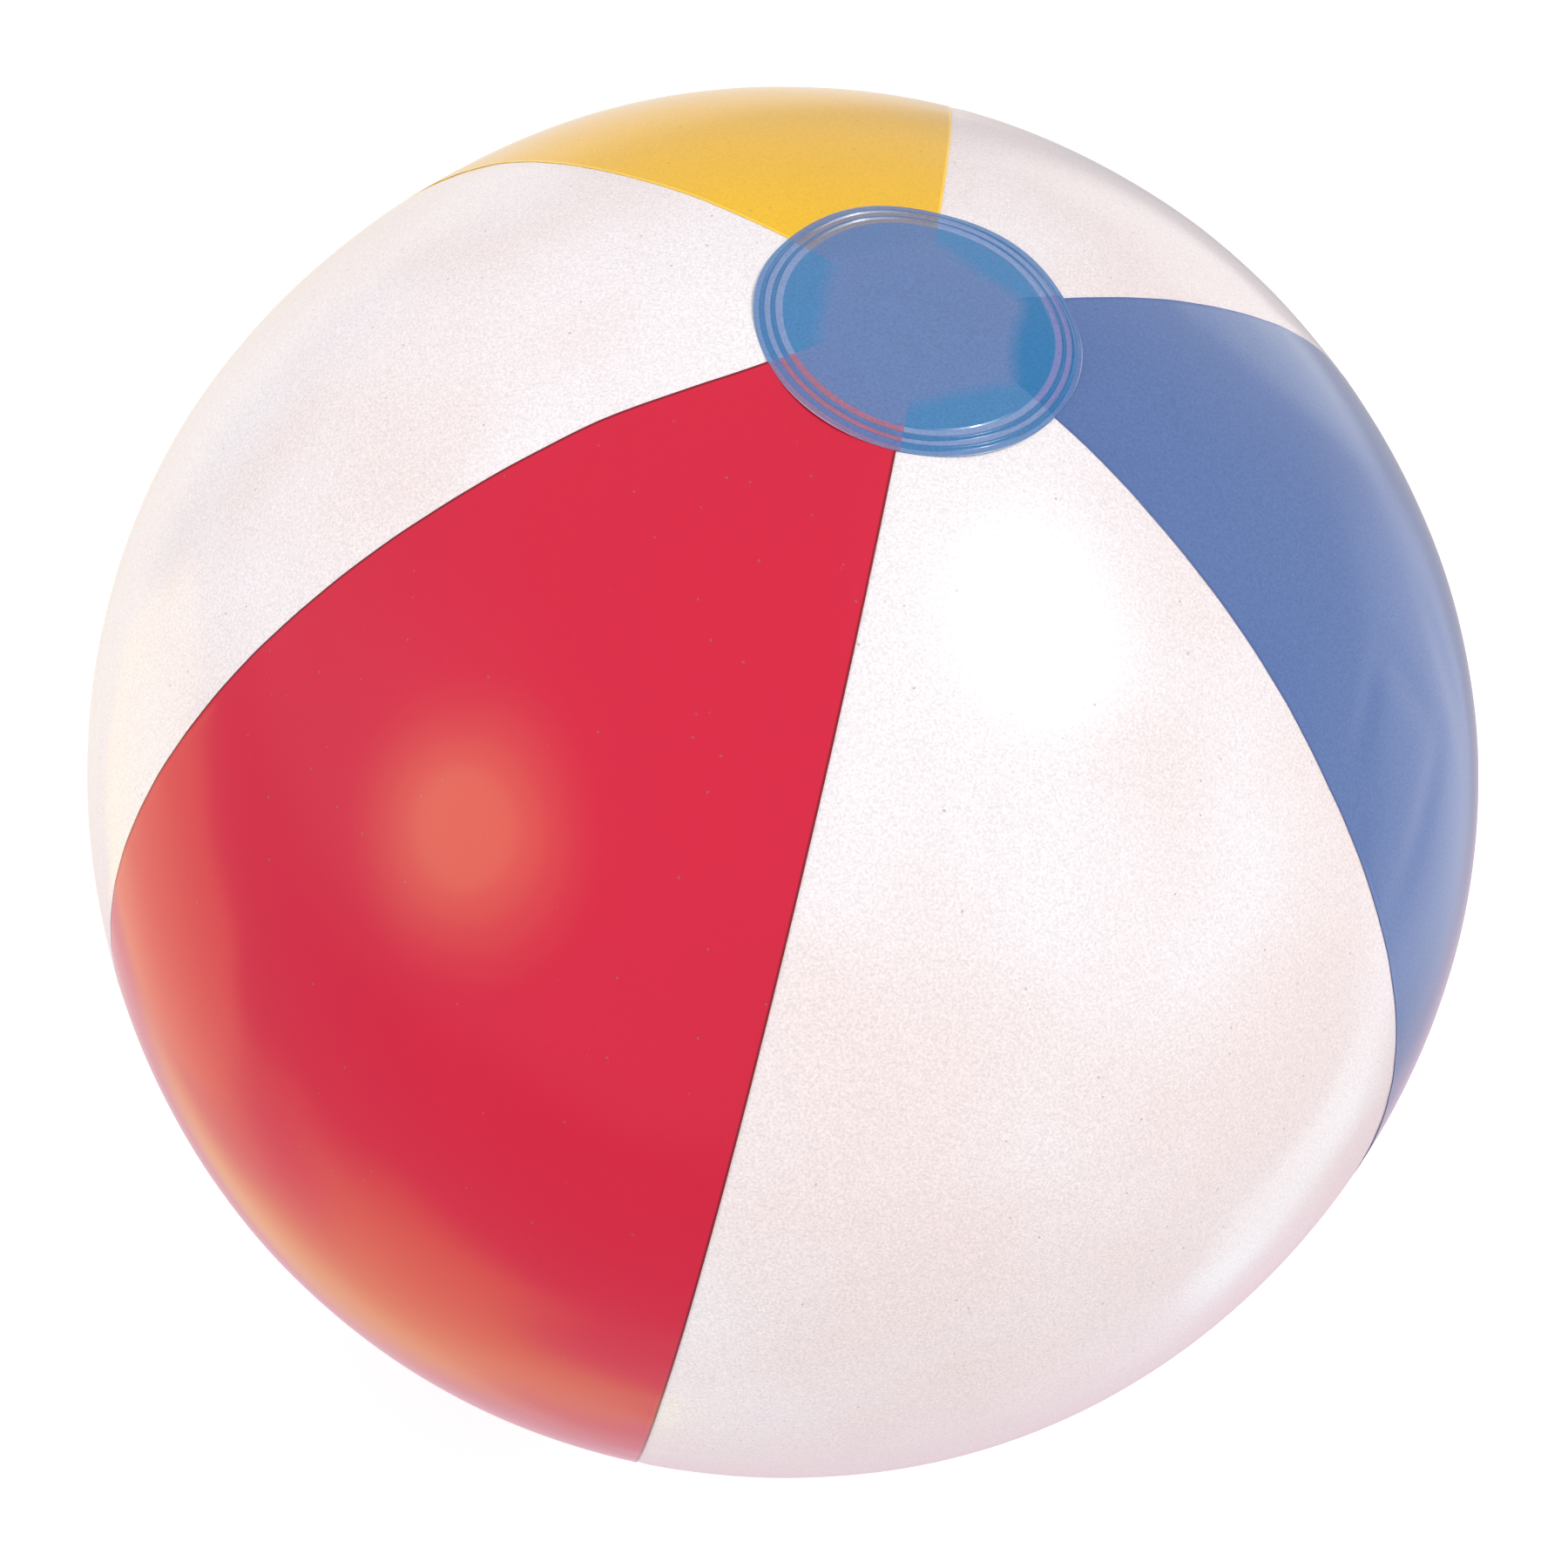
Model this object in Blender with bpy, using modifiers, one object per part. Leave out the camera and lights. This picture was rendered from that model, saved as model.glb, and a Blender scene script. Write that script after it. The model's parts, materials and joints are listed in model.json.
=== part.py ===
"""Inflatable beach ball, blown up and standing on its lower polar disc.

Six gores of vinyl film run from pole to pole, and a round disc of film covers their cut tips
at each pole. A push-in safety valve sits in the middle of the white gore that faces -X.

The origin is the ball's centre and +Z is its polar axis. The seam between the red gore and
the white gore beside it faces -Y. All lengths are in metres.
"""

from math import asin, cos, pi, radians, sin, sqrt

import bmesh
import bpy
from mathutils import Matrix, Vector

# The film and the blown-up shape
BALL_RADIUS = 0.205  # mean radius of the gores
FILM = 0.0002  # thickness of the vinyl film
GAP = 0.0003  # between two pieces that touch on the real ball
CROWN = 0.0006  # height of a gore's middle outside BALL_RADIUS
VALLEY = 0.0008  # depth of a seam inside BALL_RADIUS
LOBE_POWER = 3  # how late the film dips towards a seam
LOBE_RISE = 0.08  # distance beyond the discs over which the lobes grow

# The gores
GORES = (
    ("gore_blue", 0, (100, 130, 190)),
    ("gore_white_right", 60, (247, 241, 238)),
    ("gore_yellow", 120, (245, 195, 70)),
    ("gore_white_left", 180, (247, 241, 238)),
    ("gore_red", 240, (216, 48, 70)),
    ("gore_white_front", 300, (247, 241, 238)),
)
VALVE_GORE = "gore_white_left"
GORE_ANGLE = 2 * pi / len(GORES)
TIP_DISTANCE = 0.025  # from the polar axis to the straight cut across a gore's tip
GORE_COLUMNS = 8
GORE_ROWS = 24
FINER = 1.5  # the valve's gore has this many times as many columns and rows

# The polar discs
DISC_RADIUS = 0.042
FLAT_RADIUS = 0.020  # the stiff middle of a disc stays flat
DISC_SHOULDER = 0.031
RIDGE_STARTS = (0.866, 0.930)  # as shares of DISC_RADIUS
RIDGE_WIDTH = 0.0012
RIDGE_HEIGHT = 0.0004
DISC_COLOUR = (75, 140, 190)
DISC_STEPS = 36

# The valve, measured outward from the film at its middle, with the stem pushed in
HOLE_RADIUS = 0.012
FLANGE_INNER = 0.0115
FLANGE_OUTER = 0.019
FLANGE_THICKNESS = 0.0008
FACET_DIP = 0.0004  # how far the gore's facets dip below its true curve
MEMBRANE_TOP = -0.0013
MEMBRANE_FOOT = -0.0141
MEMBRANE_WALL = 0.0004
MEMBRANE_FOOT_RADIUS = 0.0067
STEM_TOP = -0.0032
STEM_FOOT = -0.0160
STEM_RADIUS = 0.0048
STEM_BORE = 0.0035
LIP_RADIUS = 0.0052
LIP_DEPTH = 0.0020
COLLAR_RADIUS = 0.0070
COLLAR_DEPTH = 0.0016
HEAD_RADIUS = 0.0050
HEAD_THICKNESS = 0.0018
HEAD_ROUNDING = 0.0004
STOPPER_RADIUS = 0.0031
STOPPER_STRAIGHT = 0.0020
STOPPER_TIP = 0.0023
STOPPER_LENGTH = 0.0041
PLUG_HINGE = 0.0060  # from the valve's axis to the bend of the strap
FLAP_RADIUS = 0.0054
FLAP_HINGE = 0.0052
STRAP_WIDTH = 0.0030
STRAP_THICKNESS = 0.0007
STRAP_BEND = 0.0012
VALVE_COLOUR = (236, 236, 232)
VALVE_STEPS = 36
STEM_STEPS = 32


def linear(colour):
    """Return an 8-bit sRGB colour as the linear RGBA that a shader takes."""
    shares = [channel / 255 for channel in colour]
    return [s / 12.92 if s <= 0.04045 else ((s + 0.055) / 1.055) ** 2.4 for s in shares] + [1.0]


def vinyl(name, colour, roughness):
    """Return a plain glossy vinyl material."""
    material = bpy.data.materials.new(name)
    material.use_nodes = True
    shader = material.node_tree.nodes["Principled BSDF"]
    shader.inputs["Base Color"].default_value = linear(colour)
    shader.inputs["Roughness"].default_value = roughness
    shader.inputs["Metallic"].default_value = 0.0
    return material


def add_piece(name, mesh, collection, material, parent=None, location=(0, 0, 0)):
    """Put a mesh in the scene as one sub-part."""
    piece = bpy.data.objects.new(name, mesh)
    collection.objects.link(piece)
    mesh.materials.append(material)
    piece.parent = parent
    piece.location = location
    return piece


def add_empty(name, collection, location, rotation=(0, 0, 0), parent=None):
    """Add an empty that marks a joint's axis or a local frame."""
    empty = bpy.data.objects.new(name, None)
    collection.objects.link(empty)
    empty.empty_display_size = 0.01
    empty.parent = parent
    empty.location = location
    empty.rotation_euler = rotation
    return empty


def solidify(piece, thickness, offset):
    """Give an open surface its thickness, below the surface at offset -1."""
    wall = piece.modifiers.new("wall", "SOLIDIFY")
    wall.thickness = thickness
    wall.offset = offset
    wall.use_even_offset = True


def profile_mesh(name, profile, closed):
    """Return an edge profile of (radius, height) points that run down the outer side."""
    points = [(radius, 0, height) for radius, height in profile]
    edges = [(i, i + 1) for i in range(len(points) - 1)]
    if closed:
        edges.append((len(points) - 1, 0))
    mesh = bpy.data.meshes.new(name)
    mesh.from_pydata(points, edges, [])
    return mesh


def turn(piece, steps):
    """Turn a piece's profile once round its Z axis."""
    screw = piece.modifiers.new("turn", "SCREW")
    screw.angle = 2 * pi
    screw.steps = steps
    screw.render_steps = steps
    screw.use_merge_vertices = True
    screw.merge_threshold = 0.00001
    screw.use_smooth_shade = False


def lobe(share, reach):
    """Return how far a gore stands outside BALL_RADIUS.

    share is 0 along the gore's middle and 1 at its seams, and reach is the distance from
    the polar axis. The lobes fade out before the polar discs.
    """
    level = min(max((reach - DISC_RADIUS) / LOBE_RISE, 0), 1)
    fade = level * level * (3 - 2 * level)
    return fade * (CROWN - (CROWN + VALLEY) * share**LOBE_POWER)


def gore_point(across, along):
    """Return a point of a gore whose middle faces +X.

    across runs from -1 to 1 between its seams and along from -1 to 1 between its tips.
    """
    turned = across * GORE_ANGLE / 2
    tip = asin(TIP_DISTANCE / cos(turned) / BALL_RADIUS)
    latitude = along * (pi / 2 - tip)
    reach = BALL_RADIUS * cos(latitude)
    turned -= across * GAP / 2 / reach
    radius = BALL_RADIUS + lobe(abs(across), reach)
    flat = radius * cos(latitude)
    return Vector((flat * cos(turned), flat * sin(turned), radius * sin(latitude)))


def add_gore(name, facing, colour, collection, cutters):
    """Add one gore, as a sheet wrapped round the ball and given the film's thickness."""
    finer = FINER if name == VALVE_GORE else 1
    sheet = bmesh.new()
    columns, rows = round(GORE_COLUMNS * finer), round(GORE_ROWS * finer)
    bmesh.ops.create_grid(sheet, x_segments=columns, y_segments=rows, size=1)
    for corner in sheet.verts:
        corner.co = gore_point(corner.co.x, corner.co.y)
    mesh = bpy.data.meshes.new(name)
    sheet.to_mesh(mesh)
    sheet.free()
    mesh.shade_smooth()
    gore = add_piece(name, mesh, collection, vinyl(name, colour, 0.18))
    gore.rotation_euler = (0, 0, radians(facing))
    solidify(gore, FILM, -1)
    if name == VALVE_GORE:
        cut_valve_hole(gore, cutters)


def cut_valve_hole(gore, cutters):
    """Cut the round hole that the valve looks out of."""
    bpy.ops.mesh.primitive_cylinder_add(
        vertices=VALVE_STEPS, radius=HOLE_RADIUS, depth=HOLE_RADIUS, end_fill_type="NGON"
    )
    cutter = bpy.context.object
    cutter.name = "valve_hole_cutter"
    cutter.location = (-BALL_RADIUS, 0, 0)
    cutter.rotation_euler = (0, -pi / 2, 0)
    cutter.hide_render = True
    cutter.display_type = "WIRE"
    for home in list(cutter.users_collection):
        home.objects.unlink(cutter)
    cutters.objects.link(cutter)
    hole = gore.modifiers.new("valve_hole", "BOOLEAN")
    hole.operation = "DIFFERENCE"
    hole.solver = "EXACT"
    hole.object = cutter


def cap_height(radius, reach):
    """Return the height of a sphere of this radius that is cut off flat over its pole."""
    return sqrt(radius**2 - max(reach, FLAT_RADIUS) ** 2)


def disc_profile():
    """Return the section of a polar disc, with its two raised ridges."""
    inner = BALL_RADIUS + GAP
    outer = inner + FILM
    top = [(reach, cap_height(outer, reach)) for reach in (0, FLAT_RADIUS, DISC_SHOULDER)]
    for start in RIDGE_STARTS:
        foot = start * DISC_RADIUS
        for share, rise in ((0, 0), (0.25, 1), (0.75, 1), (1, 0)):
            reach = foot + share * RIDGE_WIDTH
            top.append((reach, cap_height(outer, reach) + rise * RIDGE_HEIGHT))
    top.append((DISC_RADIUS, cap_height(outer, DISC_RADIUS)))
    underside = [(reach, cap_height(inner, reach)) for reach in (DISC_RADIUS, DISC_SHOULDER)]
    underside += [(reach, cap_height(inner, reach)) for reach in (FLAT_RADIUS, 0)]
    return top + underside


def add_discs(collection):
    """Add the two polar discs, which share one mesh."""
    mesh = profile_mesh("polar_disc", disc_profile(), closed=False)
    material = vinyl("disc_vinyl", DISC_COLOUR, 0.15)
    for name, tilt in (("polar_disc_top", 0), ("polar_disc_bottom", pi)):
        disc = bpy.data.objects.new(name, mesh)
        collection.objects.link(disc)
        disc.rotation_euler = (tilt, 0, 0)
        turn(disc, DISC_STEPS)
    mesh.materials.append(material)


def flange_profile():
    """Return the section of the ring that is welded behind the gore, round its hole."""
    clear = FILM + FACET_DIP + GAP
    inner_top = -(FLANGE_INNER**2) / (2 * BALL_RADIUS) - clear
    outer_top = -(FLANGE_OUTER**2) / (2 * BALL_RADIUS) - clear
    return (
        (FLANGE_INNER, inner_top),
        (FLANGE_OUTER, outer_top),
        (FLANGE_OUTER, outer_top - FLANGE_THICKNESS),
        (FLANGE_INNER, inner_top - FLANGE_THICKNESS),
    )


def membrane_profile():
    """Return the section of the thin cone between the flange and the stem."""
    top_radius = FLANGE_INNER - GAP
    return (
        (top_radius, MEMBRANE_TOP),
        (MEMBRANE_FOOT_RADIUS, MEMBRANE_FOOT),
        (MEMBRANE_FOOT_RADIUS - MEMBRANE_WALL, MEMBRANE_FOOT),
        (top_radius - MEMBRANE_WALL, MEMBRANE_TOP),
    )


def stem_profile():
    """Return the section of the stem: a tube with a lip at its mouth and a collar at its foot."""
    return (
        (STEM_BORE, STEM_TOP),
        (LIP_RADIUS, STEM_TOP),
        (LIP_RADIUS, STEM_TOP - LIP_DEPTH),
        (STEM_RADIUS, STEM_TOP - LIP_DEPTH),
        (STEM_RADIUS, STEM_FOOT + COLLAR_DEPTH),
        (COLLAR_RADIUS, STEM_FOOT + COLLAR_DEPTH),
        (COLLAR_RADIUS, STEM_FOOT),
        (STEM_BORE, STEM_FOOT),
    )


def plug_profile():
    """Return the section of the plug: a round head and a tapered stopper."""
    seat = STEM_TOP + GAP
    return (
        (0, seat + HEAD_THICKNESS),
        (HEAD_RADIUS - HEAD_ROUNDING, seat + HEAD_THICKNESS),
        (HEAD_RADIUS, seat + HEAD_THICKNESS - HEAD_ROUNDING),
        (HEAD_RADIUS, seat),
        (STOPPER_RADIUS, seat),
        (STOPPER_RADIUS, seat - STOPPER_STRAIGHT),
        (STOPPER_TIP, seat - STOPPER_LENGTH),
        (0, seat - STOPPER_LENGTH),
    )


def flap_profile():
    """Return the section of the check flap, a thin round sheet under the stem's foot."""
    top = STEM_FOOT - GAP
    return ((0, top), (FLAP_RADIUS, top), (FLAP_RADIUS, top - GAP), (0, top - GAP))


def strap_mesh(name):
    """Return the strap's middle surface: a U that joins the plug's head to the stem's lip."""
    head_level = STEM_TOP + GAP + HEAD_THICKNESS / 2
    bend_x = -LIP_RADIUS - GAP - STRAP_BEND / 2
    path = [(-HEAD_RADIUS - GAP, head_level)]
    for step in range(9):
        angle = pi / 2 + pi * step / 8
        path.append(
            (bend_x + STRAP_BEND * cos(angle), head_level + STRAP_BEND * (sin(angle) - 1))
        )
    path.append((-LIP_RADIUS - GAP, head_level - 2 * STRAP_BEND))
    strip = bmesh.new()
    rows = []
    for side in (-STRAP_WIDTH / 2, STRAP_WIDTH / 2):
        rows.append([strip.verts.new((x, side, height)) for x, height in path])
    for i in range(len(path) - 1):
        strip.faces.new((rows[0][i], rows[0][i + 1], rows[1][i + 1], rows[1][i]))
    mesh = bpy.data.meshes.new(name)
    strip.to_mesh(mesh)
    strip.free()
    return mesh


def add_valve(collection):
    """Add the valve's six pieces, in a local frame whose +Z points out of the ball."""
    axis = add_empty("valve_axis", collection, (-BALL_RADIUS - CROWN, 0, 0), (0, -pi / 2, 0))
    material = vinyl("valve_vinyl", VALVE_COLOUR, 0.3)

    flange = profile_mesh("valve_flange", flange_profile(), closed=True)
    turn(add_piece("valve_flange", flange, collection, material, axis), VALVE_STEPS)
    membrane = profile_mesh("valve_membrane", membrane_profile(), closed=True)
    turn(add_piece("valve_membrane", membrane, collection, material, axis), VALVE_STEPS)

    stem = profile_mesh("valve_stem", stem_profile(), closed=True)
    stem = add_piece("valve_stem", stem, collection, material, axis)
    turn(stem, STEM_STEPS)

    hinge_height = STEM_TOP + GAP / 2
    hinge = add_empty("plug_hinge", collection, (-PLUG_HINGE, 0, hinge_height), parent=stem)
    plug = profile_mesh("valve_plug", plug_profile(), closed=False)
    place = (PLUG_HINGE, 0, -hinge_height)
    turn(add_piece("valve_plug", plug, collection, material, hinge, place), STEM_STEPS)

    tether = strap_mesh("plug_tether")
    solidify(add_piece("plug_tether", tether, collection, material, stem), STRAP_THICKNESS, 0)

    weld_height = STEM_FOOT - GAP / 2
    weld = add_empty("flap_hinge", collection, (FLAP_HINGE, 0, weld_height), parent=stem)
    flap = profile_mesh("valve_flap", flap_profile(), closed=False)
    place = (-FLAP_HINGE, 0, -weld_height)
    turn(add_piece("valve_flap", flap, collection, material, weld, place), STEM_STEPS)


def main():
    for old in list(bpy.data.objects):
        bpy.data.objects.remove(old, do_unlink=True)
    ball = bpy.data.collections.new("beach_ball")
    cutters = bpy.data.collections.new("cutters")
    bpy.context.scene.collection.children.link(ball)
    bpy.context.scene.collection.children.link(cutters)
    for name, facing, colour in GORES:
        add_gore(name, facing, colour, ball, cutters)
    add_discs(ball)
    add_valve(ball)


main()
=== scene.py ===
import json
from math import asin, cos, exp, hypot, pi, radians, sin, sqrt

import bmesh
import bpy
from mathutils import Matrix, Vector, noise


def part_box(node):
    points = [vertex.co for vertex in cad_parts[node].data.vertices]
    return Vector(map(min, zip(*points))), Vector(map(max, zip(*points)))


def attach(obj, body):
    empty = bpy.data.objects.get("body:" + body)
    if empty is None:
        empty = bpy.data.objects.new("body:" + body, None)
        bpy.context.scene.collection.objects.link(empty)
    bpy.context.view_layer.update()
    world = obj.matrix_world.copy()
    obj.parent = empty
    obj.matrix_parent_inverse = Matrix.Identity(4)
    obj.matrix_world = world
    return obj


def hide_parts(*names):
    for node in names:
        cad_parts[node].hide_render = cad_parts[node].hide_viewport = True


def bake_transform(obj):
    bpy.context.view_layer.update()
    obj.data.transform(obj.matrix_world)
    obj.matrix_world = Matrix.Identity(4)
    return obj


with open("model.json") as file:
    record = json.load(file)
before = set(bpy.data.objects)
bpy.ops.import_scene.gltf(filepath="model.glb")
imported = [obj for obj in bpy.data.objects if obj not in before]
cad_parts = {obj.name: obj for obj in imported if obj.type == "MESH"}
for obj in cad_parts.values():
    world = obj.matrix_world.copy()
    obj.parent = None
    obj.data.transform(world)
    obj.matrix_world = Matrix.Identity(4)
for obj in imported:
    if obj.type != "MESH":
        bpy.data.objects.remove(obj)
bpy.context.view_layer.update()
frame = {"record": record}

# ---------------------------------------------------------------------------
# Sizes, in metres. What the frame fixes is read from the frame.
# ---------------------------------------------------------------------------
MM = 0.001
CROWN_RADIUS = -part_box("gore_white_left")[0][0]  # the middle of the valve's gore, at the equator
BALL_RADIUS = CROWN_RADIUS - 0.6 * MM
FILM = 0.2 * MM
DISC_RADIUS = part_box("polar_disc_top")[1][0]
DISC_FLAT_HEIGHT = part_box("polar_disc_top")[1][2]
FLOOR_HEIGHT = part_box("polar_disc_bottom")[0][2]
TIP_DISTANCE = 25 * MM  # from the pole to the straight cut across a gore's tip
LOBE_RISE = 0.08  # the gores bulge fully this far out from the disc's edge
GORE_ANGLE = pi / 3
WELD_BANDS = ((0.823, 0.866), (0.894, 0.930), (0.959, 1.0))  # in shares of the disc's radius

# name, lies on top at its seams, height of its middle above the mean radius (mm). Gore i faces
# azimuth 60 i degrees. The heights go back to a measure of the ball's outline in the photograph.
GORES = (
    ("gore_blue", True, 0.6),
    ("gore_white_right", False, 0.0),
    ("gore_yellow", True, 0.3),
    ("gore_white_left", False, 0.6),
    ("gore_red", True, 0.0),
    ("gore_white_front", False, 0.6),
)

# Seam i lies between gores i and i + 1. Its height above the mean radius (mm), then how far it
# strays from its true meridian (degrees) at the discs, at 66 and 45 degrees north and at the
# equator. The heights go back to a measure of the ball's outline in the photograph. The strays
# were read from a map of the photograph by azimuth and latitude. Some of both were then
# changed against renders. The equator strays of seams 0, 1 and 2 and the 45 degree one of
# seam 1 are guesses.
SEAMS = (
    (-0.40, 2.0, 3.0, 4.6, 2.5),
    (0.50, -0.9, -0.9, -0.9, -0.4),
    (-0.60, 0.0, -1.3, -3.6, -3.6),
    (-0.67, 2.4, -0.3, -0.5, -0.5),
    (0.10, -0.5, -0.5, -0.5, -0.5),
    (-0.40, 2.7, 2.0, 1.6, 4.0),
)


def srgb(red, green, blue):
    """An 8-bit sRGB colour as linear RGBA."""
    shares = [channel / 255 for channel in (red, green, blue)]
    return [s / 12.92 if s <= 0.04045 else ((s + 0.055) / 1.055) ** 2.4 for s in shares] + [1.0]


def smooth_step(low, high, value):
    """0 below low, 1 above high, and a smooth rise between them."""
    share = min(max((value - low) / (high - low), 0), 1)
    return share * share * (3 - 2 * share)


def bump_at(value, middle, width):
    """A smooth hump of height 1, gone at width / 2 from its middle."""
    share = abs(value - middle) / (width / 2)
    return (1 + cos(pi * share)) / 2 if share < 1 else 0.0


def new_object(name, mesh, material, smooth=True):
    """Put a mesh into the scene under its name, with its material."""
    piece = bpy.data.objects.new(name, mesh)
    bpy.context.scene.collection.objects.link(piece)
    mesh.materials.append(material)
    if smooth:
        mesh.shade_smooth()
    return piece


def thicken(piece):
    """Turn an open outer sheet into a closed wall of film, and apply it."""
    wall = piece.modifiers.new("wall", "SOLIDIFY")
    wall.thickness = FILM
    wall.offset = -1
    wall.use_even_offset = True
    apply_modifiers(piece)


def apply_modifiers(piece):
    """Replace a piece's mesh by its evaluated one."""
    view = bpy.context.evaluated_depsgraph_get()
    view.update()
    mesh = bpy.data.meshes.new_from_object(
        piece.evaluated_get(view), preserve_all_data_layers=True, depsgraph=view
    )
    old = piece.data
    piece.modifiers.clear()
    piece.data = mesh
    mesh.name = old.name
    bpy.data.meshes.remove(old)


# ---------------------------------------------------------------------------
# Materials
# ---------------------------------------------------------------------------
class Nodes:
    """The node tree of a material or the world, with short calls that add and join its nodes."""

    def __init__(self, owner, shader="Principled BSDF", place="Object"):
        self.owner = owner
        self.owner.use_nodes = True
        self.tree = owner.node_tree
        self.shader = self.tree.nodes[shader]
        self.place = self.add("ShaderNodeTexCoord").outputs[place]

    def add(self, kind, **settings):
        node = self.tree.nodes.new(kind)
        for key, value in settings.items():
            setattr(node, key, value)
        return node

    def put(self, socket, value):
        """Join an output to a socket, or set the socket's own value."""
        if isinstance(value, bpy.types.NodeSocket):
            self.tree.links.new(value, socket)
        else:
            socket.default_value = value

    def math(self, operation, *values, clamp=False):
        node = self.add("ShaderNodeMath", operation=operation, use_clamp=clamp)
        for i, value in enumerate(values):
            self.put(node.inputs[i], value)
        return node.outputs[0]

    def mix(self, share, first, second, blend="MIX"):
        node = self.add("ShaderNodeMix", data_type="RGBA", blend_type=blend)
        self.put(node.inputs["Factor"], share)
        self.put(node.inputs[6], first)
        self.put(node.inputs[7], second)
        return node.outputs[2]

    def ramp(self, value, stops, interpolation="EASE"):
        """Map a value through (position, grey or colour) stops."""
        node = self.add("ShaderNodeValToRGB")
        node.color_ramp.interpolation = interpolation
        elements = node.color_ramp.elements
        while len(elements) < len(stops):
            elements.new(0.5)
        for element, (position, colour) in zip(elements, stops):
            element.position = position
            element.color = colour if hasattr(colour, "__len__") else (colour,) * 3 + (1,)
        self.put(node.inputs[0], value)
        return node.outputs[0]

    def noise(self, scale, detail=2.0, roughness=0.5):
        node = self.add("ShaderNodeTexNoise")
        self.put(node.inputs["Vector"], self.place)
        node.inputs["Scale"].default_value = scale
        node.inputs["Detail"].default_value = detail
        node.inputs["Roughness"].default_value = roughness
        return node.outputs["Fac"]

    def distance_to_spots(self, scale):
        node = self.add("ShaderNodeTexVoronoi")
        self.put(node.inputs["Vector"], self.place)
        node.inputs["Scale"].default_value = scale
        return node.outputs["Distance"]

    def attribute(self, name):
        return self.add("ShaderNodeAttribute", attribute_name=name).outputs["Fac"]

    def bump(self, height, strength, distance, normal=None):
        node = self.add("ShaderNodeBump")
        node.inputs["Strength"].default_value = strength
        node.inputs["Distance"].default_value = distance
        self.put(node.inputs["Height"], height)
        if normal:
            self.put(node.inputs["Normal"], normal)
        return node.outputs[0]

    def set(self, **values):
        """Set the shader's sockets, named with _ for a space."""
        for key, value in values.items():
            self.put(self.shader.inputs[key.replace("_", " ")], value)
        return self.owner


def material_nodes(name):
    return Nodes(bpy.data.materials.new(name))


def film_surface(nodes, gloss):
    """Add what every film has: a glossy, slightly uneven face. Returns its fine grain."""
    haze = nodes.noise(9, 3)
    grain = nodes.noise(1450, 2, 0.6)
    orange_peel = nodes.noise(150, 2)
    nodes.set(
        Roughness=nodes.math("MULTIPLY_ADD", haze, 0.10, gloss + 0.12),
        IOR=1.5,
        Specular_IOR_Level=0.03,
        Coat_Weight=1.0,
        Coat_Roughness=gloss,
        Coat_IOR=1.5,
    )
    normal = nodes.bump(orange_peel, 0.10, 0.00012)
    normal = nodes.bump(grain, 0.12, 0.00003, normal)
    nodes.set(Normal=normal)
    return grain


def speckled(nodes, colour, grain, depth):
    """A film's colour with its fine pale and dark grain, and a few grey specks."""
    tone = nodes.ramp(grain, ((0.32, 1 - depth), (0.68, 1.0)), "LINEAR")
    colour = nodes.mix(1.0, colour, tone, "MULTIPLY")
    specks = nodes.ramp(nodes.distance_to_spots(150), ((0.03, 0.5), (0.07, 0.0)))
    return nodes.mix(specks, colour, srgb(112, 104, 102))


def gore_material(name, body, cloud_and_shade, edge, depth):
    """Vinyl film. Its colour drifts at random towards a second colour, and further on the +Y side as
    painted shading; beside its cut it takes an edge colour, on yellow a painted glint.
    """
    nodes = material_nodes(name)
    grain = film_surface(nodes, 0.12)
    split = nodes.add("ShaderNodeSeparateXYZ")
    nodes.put(split.inputs[0], nodes.place)
    # Painted shading: the film drifts further towards its second colour on the +Y side.
    shaded_side = nodes.math("MULTIPLY", nodes.math("MAXIMUM", split.outputs[1], 0.0), 2.6)
    drift_and_shade = nodes.math("ADD", nodes.noise(6.5, 3, 0.55), shaded_side)
    drift_and_shade = nodes.ramp(drift_and_shade, ((0.38, 0.0), (0.66, 1.0)))
    colour = speckled(nodes, nodes.mix(drift_and_shade, body, cloud_and_shade), grain, depth)
    # Beside the cut the film takes its edge colour: darker on red and blue, and on yellow a lighter
    # band that is a painted glint.
    cut = nodes.ramp(nodes.attribute("edge_distance"), ((0.42, 1.0), (0.80, 0.0)))
    colour = nodes.mix(cut, colour, edge)
    return nodes.set(Base_Color=colour)


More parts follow.
